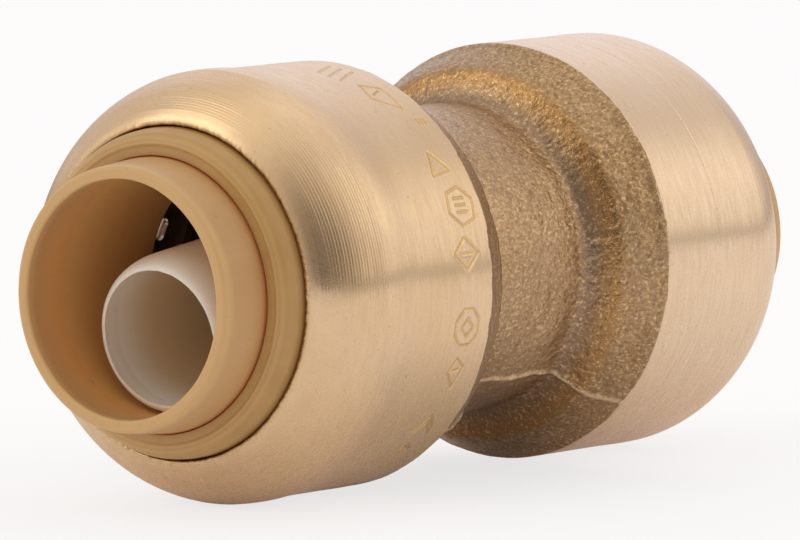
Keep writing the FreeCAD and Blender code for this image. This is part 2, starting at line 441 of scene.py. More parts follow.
def make_brass():
    m = Surface("brass_turned_and_forged")
    forged = m.attr("forged")
    cut = m.attr("cut")
    lines = m.noise(scale=1, rough=0.65, at=m.turning_lines(per_mm=5.5, shift=0, wobble=0.55))
    fine = m.noise(scale=1, rough=0.6, at=m.turning_lines(per_mm=11, shift=31, wobble=1))
    sand = m.noise(scale=7600, rough=0.6)
    turned_skin = turned_brass(m, lines, sand, cut)
    along = m.stretch((0.72, 1, 1))
    grain = m.noise(scale=5600, detail=3, rough=0.6, at=along)
    forged_skin = forged_brass(m, along, grain)
    color = m.mix(forged, turned_skin, forged_skin)

    rough_turned = m.add(m.remap(lines, span=(0.3, 0.7), to=(0.215, 0.30)),
                         m.remap(sand, span=(0.4, 0.75), to=(0.0, 0.045)))
    smoother_brown = 0.12
    rough_forged = m.sub(m.remap(grain, span=(0.3, 0.7), to=(0.42, 0.27)),
                         m.mul(m.attr("brown_reflection"), smoother_brown))
    rough = m.fade(forged, rough_turned, rough_forged)
    turned_relief = m.relief((lines, 5.0e-6), (fine, 4.6e-6), (sand, 0.4e-6))
    lumps = m.noise(scale=3300, detail=3, rough=0.6, at=along)
    height = m.fade(forged, turned_relief, m.relief((lumps, 42e-6), (grain, 44e-6)))
    tangent = m.node("ShaderNodeTangent", direction_type="RADIAL", axis="X")
    turned_anisotropy = 0.82
    m.shade({
        "Base Color": color, "Metallic": 1.0, "Roughness": rough, "Normal": m.bump(height),
        "Tangent": tangent.outputs[0],
        "Anisotropic": m.mul(m.sub(1.0, forged), turned_anisotropy),
        "Anisotropic Rotation": 0.25,
    })
    return m.mat


def make_tan(name, base, dark, rough, painted_recess_light, rim, painted_crease_shade):
    """Tan plastic; the tagged parts get painted light: a painted highlight on rims, painted
    light or shade in recesses and a painted reddish shade in creases.
    """
    m = Surface(name)
    cloud = m.noise(scale=170, detail=3)
    flow = m.noise(scale=900, detail=3, rough=0.55, at=m.stretch((0.35, 1, 1)))
    color = m.mix(m.remap(cloud, span=(0.35, 0.68)), base, dark)
    color = m.mix(m.remap(flow, span=(0.45, 0.75), to=(0, 0.35)), color, scaled(base, 1.07))
    # painted highlight on the tagged rims
    color = m.tint(color, rim, m.attr("rim"), strength=0.8)
    # painted light in recesses: shade in the ring's gap under the lip, a warm glow in the
    # collar's bore
    color = m.mix(m.attr("painted_recess_light"), color, painted_recess_light)
    # painted reddish shade in the tagged creases
    color = m.mix(m.attr("painted_crease_shade"), color, painted_crease_shade)
    specks = m.specks(scale=3300, detail=1, above=0.755)
    color = m.tint(color, scaled(dark, 0.55), specks, strength=0.22)
    scuff_lines = m.turning_lines(per_mm=3.0, shift=5.0, wobble=0.4)
    scuff = m.noise(scale=1, detail=3, rough=0.7, at=scuff_lines)
    roughness = m.add(m.remap(scuff, span=(0.3, 0.7), to=(rough - 0.05, rough + 0.07)),
                      m.remap(cloud, span=(0.3, 0.7), to=(-0.02, 0.03)))
    height = m.relief((m.noise(scale=5200), 4.5e-6), (scuff, 5.0e-6))
    m.shade({
        "Base Color": color, "Metallic": 0.0, "Roughness": roughness, "Normal": m.bump(height),
        "IOR": 1.5, "Subsurface Weight": 0.30, "Subsurface Radius": (1.0, 0.52, 0.22),
        "Subsurface Scale": 0.0011, "Specular IOR Level": 0.5,
    })
    return m.mat


def make_liner():
    m = Surface("liner_natural_plastic")
    cream, dull_cream = (0.955, 0.915, 0.855), (0.930, 0.880, 0.815)
    speck_tone, painted_recess_light, rim = (0.86, 0.80, 0.74), (0.85, 0.655, 0.43), (0.97, 0.90, 0.79)
    cloud = m.noise(scale=240, detail=3)
    color = m.mix(m.remap(cloud, span=(0.35, 0.7)), cream, dull_cream)
    specks = m.specks(scale=2400, detail=1, above=0.75)
    color = m.tint(color, speck_tone, specks, strength=0.3)
    # painted warm shade inside the tube
    color = m.mix(m.attr("painted_recess_light"), color, painted_recess_light)
    color = m.tint(color, rim, m.attr("rim"), strength=0.6)
    # streaks drawn out along the axis
    draw = m.noise(scale=2600, rough=0.6, at=m.stretch((0.06, 1, 1)))
    height = m.relief((draw, 7e-6), (m.noise(scale=4200), 5e-6))
    m.shade({
        "Base Color": color, "Roughness": m.remap(draw, span=(0.3, 0.7), to=(0.34, 0.46)),
        "Normal": m.bump(height), "Subsurface Weight": 0.35,
        "Subsurface Radius": (1.0, 0.88, 0.76), "Subsurface Scale": 0.0010, "IOR": 1.5,
    })
    return m.mat


def make_steel():
    m = Surface("stainless_spring_strip")
    light, dark = (0.70, 0.665, 0.62), (0.56, 0.525, 0.485)
    grain = m.noise(scale=1500, detail=4, rough=0.6, at=m.stretch((1, 1, 1)))
    m.shade({
        "Base Color": m.mix(m.remap(grain, span=(0.3, 0.7)), light, dark), "Metallic": 1.0,
        "Roughness": m.remap(grain, span=(0.3, 0.7), to=(0.22, 0.36)),
        "Normal": m.bump(m.relief((grain, 4e-6))),
    })
    return m.mat


def make_dark(name, base, light, rough):
    """Dark rubber or plastic with a little dust."""
    m = Surface(name)
    cloud = m.noise(scale=1400, detail=4, rough=0.6)
    dust = m.specks(scale=2900, detail=1, above=0.76)
    color = m.mix(m.remap(cloud, span=(0.35, 0.7)), base, light)
    color = m.tint(color, scaled(light, 3), dust, strength=0.3)
    m.shade({
        "Base Color": color,
        "Roughness": m.remap(cloud, span=(0.3, 0.7), to=(rough - 0.06, rough + 0.08)),
        "Normal": m.bump(m.relief((m.noise(scale=3800, detail=3, rough=0.6), 6e-6))),
    })
    return m.mat


MAT_BRASS = make_brass()
MAT_COLLAR = make_tan(
    "collar_tan_plastic", base=(0.630, 0.385, 0.175), dark=(0.585, 0.342, 0.146), rough=0.36,
    painted_recess_light=(0.79, 0.45, 0.165), rim=(0.68, 0.455, 0.205), painted_crease_shade=(0.56, 0.21, 0.07))
MAT_RING = make_tan(
    "ring_tan_plastic", base=(0.560, 0.345, 0.128), dark=(0.500, 0.298, 0.102), rough=0.33,
    painted_recess_light=(0.45, 0.225, 0.075), rim=(0.66, 0.445, 0.19), painted_crease_shade=(0.50, 0.19, 0.06))
MAT_LINER = make_liner()
MAT_STEEL = make_steel()
MAT_RUBBER = make_dark(
    "seal_rubber", base=(0.012, 0.012, 0.012), light=(0.022, 0.021, 0.020), rough=0.38)
MAT_SPACER = make_dark(
    "spacer_plastic", base=(0.075, 0.042, 0.026), light=(0.100, 0.060, 0.038), rough=0.42)


# --------------------------------------------------------------------- stamped marks
def polygon(sides, rx, ry, turn):
    """Closed stroke with its first corner at angle turn (radians)."""
    angles = [turn + 2 * math.pi * k / sides for k in range(sides + 1)]
    return [(rx * math.cos(a), ry * math.sin(a)) for a in angles]


# Each shape is a list of strokes in units of the mark's scale: x along the axis, y round it
HEXAGON = [polygon(6, 1.0, 0.95, 0.3),
           [(-0.35, -0.28), (0.35, -0.28)], [(-0.35, 0.05), (0.35, 0.05)],
           [(-0.35, 0.38), (0.35, 0.38)]]
DIAMOND = [polygon(4, 1.0, 0.82, 0.0), [(-0.4, 0.0), (0.4, 0.0)]]
TRIANGLE = [polygon(3, 1.0, 0.95, math.pi / 2)]
KITE = [[(0, 1.05), (0.75, 0.25), (0, -1.05), (-0.75, 0.25), (0, 1.05)],
        [(-0.32, 0.25), (0.32, 0.25)]]
OCTAGON = [polygon(8, 0.95, 0.95, 0.39), polygon(4, 0.44, 0.44, 0.0)]
CHEVRONS = [[(-0.9, -0.6), (0.0, 0.5), (0.9, -0.6)], [(-0.9, -1.05), (0.0, 0.05), (0.9, -1.05)]]
BARS = [[(-1.0, -0.75), (1.0, -0.35)], [(-1.0, -0.15), (1.0, 0.25)], [(-1.0, 0.45), (1.0, 0.85)]]
ARROW = [[(-1.1, 0.0), (0.9, 0.0)], [(0.4, 0.45), (0.9, 0.0), (0.4, -0.45)]]
TICKS = [[(x, -0.3), (x, 0.3)] for x in (-0.4, 0.0, 0.4)]

# theta (degrees), s (mm), turn (degrees), scale (mm), shape
MARKS = [
    (75.5, 15.00, 12, 1.15, BARS), (60.5, 15.35, 25, 1.30, KITE),
    (49.0, 16.40, 0, 0.70, TICKS), (34.5, 15.20, 10, 0.95, TRIANGLE),
    (22.5, 15.75, 0, 1.20, HEXAGON), (9.8, 15.35, 0, 1.05, DIAMOND),
    (-10.0, 15.40, 0, 1.15, OCTAGON), (-23.0, 15.25, 10, 0.85, KITE),
    (-38.5, 15.00, 0, 1.0, CHEVRONS), (-51.0, 14.85, 90, 0.9, ARROW),
    (-75.0, 15.20, 0, 1.0, HEXAGON), (-100.0, 15.20, 0, 0.9, BARS),
    (-128.0, 15.30, 0, 1.0, DIAMOND), (152.0, 15.20, 0, 1.1, OCTAGON),
    (118.0, 15.20, 15, 1.1, KITE), (98.0, 15.30, 0, 0.8, TICKS),
]


def segment_distance(x, y, start, end):
    (x0, y0), (x1, y1) = start, end
    dx, dy = x1 - x0, y1 - y0
    t = np.clip(((x - x0) * dx + (y - y0) * dy) / (dx * dx + dy * dy), 0, 1)
    return np.hypot(x - x0 - t * dx, y - y0 - t * dy)


def wrapped(degrees):
    return (degrees + 180) % 360 - 180


def stamp(degrees, s):
    """Stroke strength and burr strength, each 0 to 1, round the barrel at s."""
    cut = np.zeros(len(degrees))
    burr = np.zeros(len(degrees))
    for mark_degrees, mark_s, turn, scale, strokes in MARKS:
        reach = scale * 1.4 + 0.3
        arc = wrapped(degrees - mark_degrees) * math.pi / 180 * BARREL_R
        along = s - mark_s
        near = (np.abs(arc) < reach) & (abs(along) < reach)
        if not near.any():
            continue
        cosine, sine = math.cos(math.radians(turn)), math.sin(math.radians(turn))
        x = (along * cosine + arc[near] * sine) / scale
        y = (-along * sine + arc[near] * cosine) / scale
        distance = scale * np.min([
            segment_distance(x, y, start, end)
            for stroke in strokes for start, end in zip(stroke[:-1], stroke[1:])], axis=0)
        cut[near] = np.maximum(cut[near], 1 - ease(0.045, 0.115, distance))
        burr[near] = ease(0.07, 0.12, distance) * (1 - ease(0.12, 0.22, distance))
    return cut, burr


# -------------------------------------------------------------------- the brass body
# The outside is a list of rings (count, s, r, tags) for each end, from the lip to the middle.

# Lip edge from its inner side outwards: s, r, raggedness
LIP_EDGE = [
    (4.86, 9.035, 0.1), (4.62, 9.035, 0.6), (4.50, 9.050, 1.0), (4.445, 9.09, 1.0),
    (4.43, 9.14, 0.9), (4.425, 9.19, 0.6), (4.43, 9.25, 0.3), (4.455, 9.33, 0.12),
    (4.50, 9.43, 0.0), (4.56, 9.55, 0.0), (4.65, 9.69, 0.0),
]
LIP_MIN_R = 8.99
LIP_SEED = {"near": 20, "far": 60}

# Rolled end: an arc from the lip up to the barrel, with fine turning grooves
ROLL_START, ROLL_MIDDLE, ROLL_END_S = (4.77, 9.86), (6.55, 11.24), 8.25
ROLL_CENTRE_R = 8.3         # grooves are cut towards (ROLL_END_S, ROLL_CENTRE_R)
GROOVE_PITCH = 0.172
GROOVE_DEPTH = 0.0096
GROOVE_SHARE = {"near": 1.0, "far": 0.35}

# Barrel: a low swelling past the rolled end, and one groove at the far end
SWELL = {"near": 0.10, "far": 0.03}
BARREL_GROOVE_S = 12.5

# As-forged skin
FORGE_STEP = 0.078
TOOL_LINE_S = 17.30         # faint line just outside the forged edge, far end
PARTING = -43.0             # degrees; the die halves meet here and opposite

# Bore of one half, mouth inwards: s, r, fillet
BORE = [(s, r, 0.12) for s, r in [
    (4.9, LIP_R), (5.60, LIP_R), (6.55, 9.95), (14.15, 9.95), (14.15, 9.25), (17.45, 9.25),
    (17.45, 6.90), (17.80, 6.55), (24.15, 6.55), (24.15, 4.90), (24.45, 4.60), (HALF, 4.60)]]
# Rings that bring the lip's count down to the bore's: s, count
BORE_ENTRY = [(5.05, 720), (5.15, 360)]


def lip_jitter(seed):
    theta = ring_angles(720)
    # scale, seed step, share
    layers = [(0.9, 0, 0.40), (3.2, 1, 0.55), (7.0, 2, 0.75)]
    waves = sum(ring_noise(theta, 9.0, scale, seed + step) * share
                for scale, step, share in layers)
    burr = np.clip(ring_noise(theta, 9.0, 1.6, seed + 5) - 0.45, 0, 1) * 1.6
    return waves + burr


def lip_rings(end):
    seed = LIP_SEED[end]
    along = 0.032 * lip_jitter(seed)
    inward = np.abs(0.030 * lip_jitter(seed + 9))
    if end == "near":       # a torn sliver of metal
        theta = ring_angles(720)
        sliver = bell(np.degrees(theta), 108.0, 5.0)
        along = along - 0.08 * sliver * (1 + ring_noise(theta, 9.0, 3.0, seed=77))
    rings = []
    for s, r, ragged in LIP_EDGE:
        tags = dict(cut=min(1.0, ragged * 1.2), torn=min(1.0, ragged * 1.6))
        ring_r = np.maximum(r - inward * ragged, LIP_MIN_R)
        rings.append((720, s + along * ragged, ring_r, tags))
    return rings


def swell(s, end):
    return SWELL[end] * bell(s, 9.2, 1.3)


def roll_rings(end):
    rings = []
    curve = arc_points(ROLL_START, ROLL_MIDDLE, (ROLL_END_S, BARREL_R), step=0.036)
    travel = 0.0
    last = curve[0]
    for s, r in curve:
        travel += math.dist((s, r), last)
        last = (s, r)
        count = 360 if travel > 0.15 else 720
        out_s, out_r = s - ROLL_END_S, r - ROLL_CENTRE_R
        length = math.hypot(out_s, out_r)
        depth = GROOVE_DEPTH * (0.75 + 0.25 * math.sin(travel * 1.7 + 1.0))
        depth *= 0.4 + 0.6 * ease(0.2, 0.8, travel)
        wave = math.sin(2 * math.pi * travel / GROOVE_PITCH)
        wave += 0.35 * math.sin(2 * math.pi * travel / (GROOVE_PITCH * 2.7) + 1.0)
        lift = depth * wave * GROOVE_SHARE[end]
        rings.append((count, s + lift * out_s / length,
                      r + swell(s, end) + lift * out_r / length, {}))
    return rings


def barrel_rings(end):
    stations = [*np.arange(8.33, 10.2, 0.12), *np.arange(10.3, 13.7, 0.3)]
    groove = 0.0
    if end == "far":
        groove = 0.018
        stations += [12.38, 12.43, 12.47, 12.50, 12.53, 12.57, 12.62]
        stations += [*np.arange(13.7, 16.35, 0.25)]
        stations.sort()
    rings = []
    for s in stations:
        r = BARREL_R + swell(s, end) - groove * bell(s, BARREL_GROOVE_S, 0.035)
        rings.append((360, s, r, {}))
    if end == "far":
        return rings + [(720, 16.40, BARREL_R, {})]
    # band of stamped marks
    rings.append((720, 13.72, BARREL_R, {}))
    degrees = np.arange(1440) * 360.0 / 1440
    for s in np.arange(13.80, 16.98, 0.05):
        cut, burr = stamp(degrees, s)
        rings.append((1440, s, BARREL_R - 0.040 * cut + 0.010 * burr, dict(cut=cut)))
    return rings + [(720, 17.02, BARREL_R, {})]


def resample(points, step):
    travel = np.r_[0, np.cumsum(np.hypot(*np.diff(points, axis=0).T))]
    even = np.linspace(0, travel[-1], int(travel[-1] / step) + 1)
    return np.stack([np.interp(even, travel, column) for column in points.T], 1)


def soften(points, sigma):
    """Round the profile's corners the way a forging die does; the ends stay put."""
    kernel = np.exp(-0.5 * (np.arange(-9, 10) / sigma) ** 2)
    kernel /= kernel.sum()
    before = 2 * points[0] - points[9:0:-1]
    after = 2 * points[-1] - points[-2:-11:-1]
    padded = np.concatenate([before, points, after])
    return np.stack([np.convolve(column, kernel, "valid") for column in padded.T], 1)


def forged_profile(end):
    """Dense (s, r) chain of the forged skin from under the barrel to the middle."""
    points = [(16.55, 12.06), (17.05, 11.86), (17.65, 11.62)]
    points += arc_points((17.65, 11.62), (18.80, 11.12), (19.95, 10.56), step=0.1)[1:]
    points += arc_points((19.95, 10.56), (20.17, 10.43), (20.31, 10.20), step=0.06)[1:]
    points += [(20.86, 9.25)]
    points += arc_points((20.86, 9.25), (21.21, 8.855), (21.80, NECK_R), step=0.06)[1:]
    points += [(HALF, NECK_R)]
    profile = soften(resample(np.array(points), FORGE_STEP), sigma=3.0)
    if end == "far":        # closer stations at the tool line
        close = TOOL_LINE_S + np.array([-0.10, -0.05, -0.025, 0.0, 0.025, 0.05, 0.10])
        close = np.stack([close, np.interp(close, *profile.T)], 1)
        clear = (profile[:, 0] < 17.19) | (profile[:, 0] > 17.41)
        profile = np.concatenate([profile[clear], close])
        profile = profile[np.argsort(profile[:, 0], kind="stable")]
    return profile


def forged_offset(s, r, end):
    """Outward displacement, pit strength and painted-highlight strength along the flash ridge
    round one forged ring.
    """
    world = around(s, r, ring_angles(720))
    if end == "far":
        world = world * HALF_TURN
    degrees = np.degrees(np.arctan2(world[:, 2], -world[:, 1]))
    undulation = noise3(world, 0.50, seed=3) * 0.050 + noise3(world, 1.2, seed=4) * 0.022
    drawn = world * np.array([0.75, 1, 1])
    grain = noise3(drawn, 3.4, seed=5)
    fine = noise3(drawn, 6.0, seed=6)
    coarse = ease(18.6, 19.9, s) * (1 - ease(20.9, 21.8, s))
    pits = np.clip(-(grain * 0.6 + fine * 0.55) - 0.30, 0, 1)
    offset = undulation + grain * (0.011 + 0.017 * coarse) + fine * (0.010 + 0.006 * coarse)
    offset = offset - pits * 0.028
    # parting plane: the two die halves meet in a blunt edge with a thin flash line on it
    ridge_highlight = np.zeros(720)
    fade = ease(17.3, 18.2, s)
    ragged = noise3(world, 3.4, seed=12) * 0.035
    jagged = 0.80 + 0.28 * noise3(world, 2.2, seed=11)
    for seam in (PARTING, PARTING + 180):
        arc = wrapped(degrees - seam) * math.pi / 180 * r
        on_axis = world * np.array([1, 0, 0]) + np.array([0, seam, 0])
        wander = noise3(on_axis, 0.8, seed=9) * 0.16
        from_line = np.maximum(np.abs(arc + wander) + ragged, 0)
        offset = offset + fade * (0.20 * np.exp(-np.abs(arc) / 2.0) - 0.05)
        offset = offset + fade * np.exp(-(from_line / 0.135) ** 4) * 0.17 * jagged
        # painted highlight: a strip along the flash line, for the light it catches from above
        shine = fade * np.exp(-(from_line / 0.15) ** 4) * (0.75 + 0.25 * fine)
        ridge_highlight = np.maximum(ridge_highlight, shine)
    return offset, pits, ridge_highlight


def forged_rings(end):
    """The forged skin, cut off by the turned barrel where it stands higher."""
    profile = forged_profile(end)
    tangents = np.gradient(profile, axis=0)
    tangents /= np.linalg.norm(tangents, axis=1)[:, None]
    # the near half carries the middle ring for both
    first, last, line = (17.06, math.inf, 0.0) if end == "near" else (16.45, HALF - 0.04, 0.014)
    rings = []
    for (s, r), (tangent_s, tangent_r) in zip(profile, tangents):
        if s < first or s > last:
            continue
        offset, pits, ridge_highlight = forged_offset(s, r, end)
        skin_r = r + offset * tangent_s
        turned = skin_r > BARREL_R
        ring_s = np.where(turned, s, s - offset * tangent_r * 0.8)
        ring_r = np.minimum(skin_r, BARREL_R) - line * bell(s, TOOL_LINE_S, 0.022) * turned
        forged = ease(-0.004, 0.012, BARREL_R - skin_r)
        # the brown and blue tags mark the painted reflection bands on the shoulder's wall and
        # fillet
        rings.append((720, ring_s, ring_r, dict(
            forged=forged, pit=pits * forged * 1.6, ridge_highlight=ridge_highlight * forged,
            brown_reflection=bell(s, 20.30, 0.42) * forged, blue_reflection=bell(s, 21.15, 0.42) * forged)))
    return rings


def outer_rings(end):
    return lip_rings(end) + roll_rings(end) + barrel_rings(end) + forged_rings(end)


def build_body():
    loft = Loft()
    for count, s, r, tags in outer_rings("near"):
        loft.add(count, s, r, **tags)
    for count, s, r, tags in reversed(outer_rings("far")):
        # half a turn about Z takes theta to 180 degrees less theta
        order = (count // 2 - np.arange(count)) % count
        s, r = np.broadcast_to(s, (count,)), np.broadcast_to(r, (count,))
        tags = {key: np.broadcast_to(value, (count,))[order] for key, value in tags.items()}
        loft.add(count, 2 * HALF - s[order], r[order], **tags)
    # inside, from the far lip back to the near lip
    half = densify(round_corners(BORE, 3, closed=False), 1.2, closed=False)
    for s, count in BORE_ENTRY:
        loft.add(count, 2 * HALF - s, LIP_R)
    for s, r in [(2 * HALF - s, r) for s, r in half] + half[-2::-1]:
        if 5.2 < s < 2 * HALF - 5.2:
            loft.add(180, s, r)
    for s, count in reversed(BORE_ENTRY):
        loft.add(count, s, LIP_R)
    return loft.build("brass_body_shell")


# --------------------------------------------------------------- parts at either end
# Corners of the outlines below: s, r, fillet
RETAINER = [
    (3.11, 7.47, 0.07), (3.17, 7.98, 0.12), (3.11, 8.14, 0.12), (3.20, 8.42, 0.5),
    (3.48, 8.70, 0.4), (3.98, 8.90, 0.4), (4.55, 8.955, 0.3), (5.60, 8.955, 0.1),
    (6.67, 9.88, 0.1), (9.53, 9.88, 0.08), (9.53, 8.60, 0.05), (6.20, 8.60, 0.08),
    (6.20, 7.55, 0.05), (3.60, 7.49, 0.1),
]
COLLAR = [
    (0.0, 7.14, 0.36), (0.50, 7.205, 0.3), (3.00, 7.44, 0.3), (6.26, 7.43, 0.06),
    (6.26, 8.45, 0.08), (7.30, 8.45, 0.12), (7.30, 7.43, 0.1), (8.00, 7.43, 0.2),
    (10.74, 6.67, 0.05), (10.74, 6.55, 0.05), (5.50, 6.625, 1.1), (3.20, 6.62, 1.1),
    (0.60, 6.455, 0.4), (0.0, 6.45, 0.16),
]
SPACER = [(s, r, 0.06) for s, r in [
    (10.02, 9.10), (10.02, 9.88), (14.05, 9.88), (14.05, 6.62), (13.30, 6.62), (13.15, 7.45),
    (10.47, 9.05)]]


def build_retainer(end):
    def warp(theta, s, r):
        waves = ring_noise(theta, 8.0, 0.25, seed=41) * 0.018
        fine = ring_noise(theta, 8.0, 1.3, seed=42) * 0.004
        return s + (waves + fine) * (s < 4.5), r

    def tags(s, r):
        # painted highlight lines on the face's two beads
        rim = (bell(r, 8.14, 0.10) * 0.8 + bell(r, 8.45, 0.10) * 0.5) * (s < 4)
        # painted shade in the gap under the brass lip
        painted_recess_light = np.clip(ease(4.05, 4.65, s) * (r > 8.0) + (s > 4.7), 0, 1)
        # painted reddish shade where the ring's face meets the collar
        painted_crease_shade = (1 - ease(7.48, 7.64, r)) * (s < 3.9)
        return dict(rim=rim, painted_recess_light=painted_recess_light, painted_crease_shade=painted_crease_shade)

    return revolve(end + "_retainer", RETAINER, count=360, step=0.35, segments=6,
                   flip=end == "far", warp=warp, tags=tags)


def build_collar(end):
    def warp(theta, s, r):
        waves = ring_noise(theta, 7.0, 0.22, seed=51) * 0.020
        fine = ring_noise(theta, 7.0, 0.9, seed=52) * 0.006
        front = 1 - ease(0.2, 2.4, s)
        return s + (np.abs(waves) + fine) * front, r + fine * 0.6 * (1 - ease(3.0, 5.0, s))

    def tags(s, r):
        outside = r > 7.3
        inside = (r < 6.68) * ease(0.10, 2.8, s)
        # painted highlight on the front rim
        rim = (1 - ease(0.35, 0.75, s)) * (1 - inside)
        # painted warm light in the bore and on the part hidden under the ring
        painted_recess_light = np.clip(inside + ease(3.3, 3.6, s) * outside, 0, 1)
        # painted reddish shade where the collar goes in under the ring
        painted_crease_shade = ease(2.80, 3.10, s) * outside * (1 - ease(3.4, 3.8, s))
        return dict(rim=rim, painted_recess_light=painted_recess_light, painted_crease_shade=painted_crease_shade)

    return revolve(end + "_collar", COLLAR, count=360, step=0.30, segments=6,
                   flip=end == "far", warp=warp, tags=tags)


def build_spacer(end):
    return revolve(end + "_spacer", SPACER, count=180, step=0.8, segments=3, flip=end == "far")


SEAL_S, SEAL_R = 15.82, 7.67            # centre of the O-ring's section
SEAL_SECTION_R = 1.475
SEAL_FLASH = 0.02                       # moulding line on its inner and outer edge


def build_seal(end):
    loft = Loft()
    for a in ring_angles(48):
        radius = SEAL_SECTION_R + SEAL_FLASH * bell(math.cos(a), 0, 0.05)
        loft.add(240, SEAL_S - radius * math.cos(a), SEAL_R + radius * math.sin(a))
    return loft.build(end + "_seal", flip=end == "far")


LINER_R = 4.445                         # outside of the tube
LINER_DROOP = math.radians(6.80)
FLANGE_S, FLANGE_HALF = 22.90, 0.45     # middle and half thickness of the liner's flange
NOSE_S, NOSE_LENGTH, NOSE_DROP = 3.128, 1.93, 0.692


def liner_outline():
    """Corners of the tube liner; its tip is drawn in to a rounded nose with a thin rim."""
    nose = [(NOSE_S + NOSE_LENGTH * (1 - math.cos(a)),
             LINER_R - NOSE_DROP + NOSE_DROP * math.sin(a),
             0.0 if k else 0.02)
            for k, a in enumerate(np.linspace(0.10, math.pi / 2, 15))]
    front, back = FLANGE_S - FLANGE_HALF, FLANGE_S + FLANGE_HALF
    return nose + [
        (front - 0.5, LINER_R, 0.3), (front, 4.90, 0.12), (front, 6.20, 0.08),
        (back, 6.20, 0.08), (back, 4.30, 0.1), (back - 0.3, 4.00, 0.1), (12.0, 4.00, 3.0),
        (4.6, 3.99, 0.6), (3.60, 3.84, 0.3), (3.125, 3.705, 0.03),
    ]


def build_liner(end):
    def warp(theta, s, r):
        ragged = (ring_noise(theta, 4.3, 0.7, seed=71) * 0.020
                  + ring_noise(theta, 4.3, 2.6, seed=72) * 0.014)
        oval = 0.025 * np.cos(2 * theta + 0.6)
        front = 1 - ease(3.15, 3.55, s)
        ring_r = r + oval * (1 - ease(4.0, 16.0, s)) + ragged * 0.3 * front
        return s + np.abs(ragged) * front, ring_r

    def tags(s, r):
        # painted warm shade inside the tube
        if r < 4.12:        # inside the tube
            return dict(painted_recess_light=ease(3.8, 8.0, s), rim=1 - ease(3.16, 3.45, s))
        return dict(painted_recess_light=0.0, rim=1 - ease(3.2, 3.5, s))

    liner = revolve(end + "_liner", liner_outline(), count=320, step=0.4, segments=4,
                    warp=warp, tags=tags)
    # hang from the flange, mouth end down
    pivot = Vector(((FLANGE_S - HALF) * MM, 0, 0))
    droop = Matrix.Rotation(-LINER_DROOP, 4, "Y")
    liner.data.transform(Matrix.Translation(pivot) @ droop @ Matrix.Translation(-pivot))
    if end == "far":
        liner.data.transform(Matrix.Rotation(math.pi, 4, "Z"))
    return liner


# ------------------------------------------------------------------------- grab ring
TEETH = 16
TOOTH_PITCH = 360 / TEETH               # degrees
FIRST_SLOT = 100.0                      # theta of a slot's centre, degrees
GRAB_S, GRAB_THICK = 9.60, 0.30         # rim's outward face and thickness
GRAB_R, GRAB_ROOT_R = 9.80, 8.85        # rim's outer edge and the teeth's roots
TIP_S, TIP_R = 10.88, 6.40              # tip at the outward face
TIP_BACK = np.array([11.05, 6.30])      # the tip's lowest point, at its back
GRAB_BEVEL = 0.05
SLOT_HALF = TIP_R * math.tan(math.radians(5.5))
# Rows of points from root (0) to tip (1); corners round off from TIP_ROUND, the end bevels
TIP_ROUND, TIP_BEVEL = 0.94, 0.985
TOOTH_ROWS = [0.0, 0.10, 0.22, *np.linspace(0.30, TIP_ROUND, 14), 0.965, TIP_BEVEL, 1.0]
TOOTH_COLUMNS = 15


def tooth_half_angle(r):
    """Half the tooth's angle at radius r; the slot's sides are parallel and end round."""
    over = r - (GRAB_ROOT_R - SLOT_HALF - 0.15)
    gap = 0.0
    if over <= 0:
        gap = SLOT_HALF
    elif over < SLOT_HALF:
        gap = math.sqrt(SLOT_HALF**2 - over**2)
    return math.radians(TOOTH_PITCH / 2) - math.asin(gap / r)


def tooth_points(centre):
    """Outward face then back face of one tooth, rows from root to tip."""
    front_root, front_tip = np.array([GRAB_S, GRAB_ROOT_R]), np.array([TIP_S, TIP_R])
    back_root = np.array([GRAB_S + GRAB_THICK, GRAB_ROOT_R])
    slope = (front_tip - front_root) / np.linalg.norm(front_tip - front_root)
    normal = np.array([-slope[1], slope[0]])
    across = np.linspace(-1, 1, TOOTH_COLUMNS)
    points = []
    for root, tip, sign in ((front_root, front_tip, 1), (back_root, TIP_BACK, -1)):
        for v in TOOTH_ROWS:
            r = GRAB_ROOT_R + (TIP_R - GRAB_ROOT_R) * v
            half_angle = tooth_half_angle(r)
            if v > TIP_ROUND:
                half_angle -= 0.20 * ((v - TIP_ROUND) / (1 - TIP_ROUND)) ** 2 / r
            shave = GRAB_BEVEL * np.maximum(0.0, (np.abs(across) - 0.86) / 0.14)
            if v >= TIP_BEVEL:
                shave = shave + GRAB_BEVEL * 0.7
            inward = sign * (normal if v > 0 else np.array([1.0, 0.0]))
            s, r = root * (1 - v) + tip * v
            points.append(around(s + inward[0] * shave, r + inward[1] * shave,
                                 centre + across * half_angle))
    return np.concatenate(points)


def tooth_faces(base):
    shape = (2, len(TOOTH_ROWS), TOOTH_COLUMNS)
    front, back = (base + np.arange(math.prod(shape)).reshape(shape)).tolist()
    faces = []
    for i in range(len(TOOTH_ROWS) - 1):
        f, f1, b, b1 = front[i], front[i + 1], back[i], back[i + 1]
        for j in range(TOOTH_COLUMNS - 1):
            faces.append((f[j], f1[j], f1[j + 1], f[j + 1]))
            faces.append((b[j], b[j + 1], b1[j + 1], b1[j]))
        faces.append((f[0], b[0], b1[0], f1[0]))
        faces.append((f[-1], f1[-1], b1[-1], b[-1]))
    for j in range(TOOTH_COLUMNS - 1):
        faces.append((front[-1][j], back[-1][j], back[-1][j + 1], front[-1][j + 1]))
        faces.append((front[0][j], front[0][j + 1], back[0][j + 1], back[0][j]))
    return faces


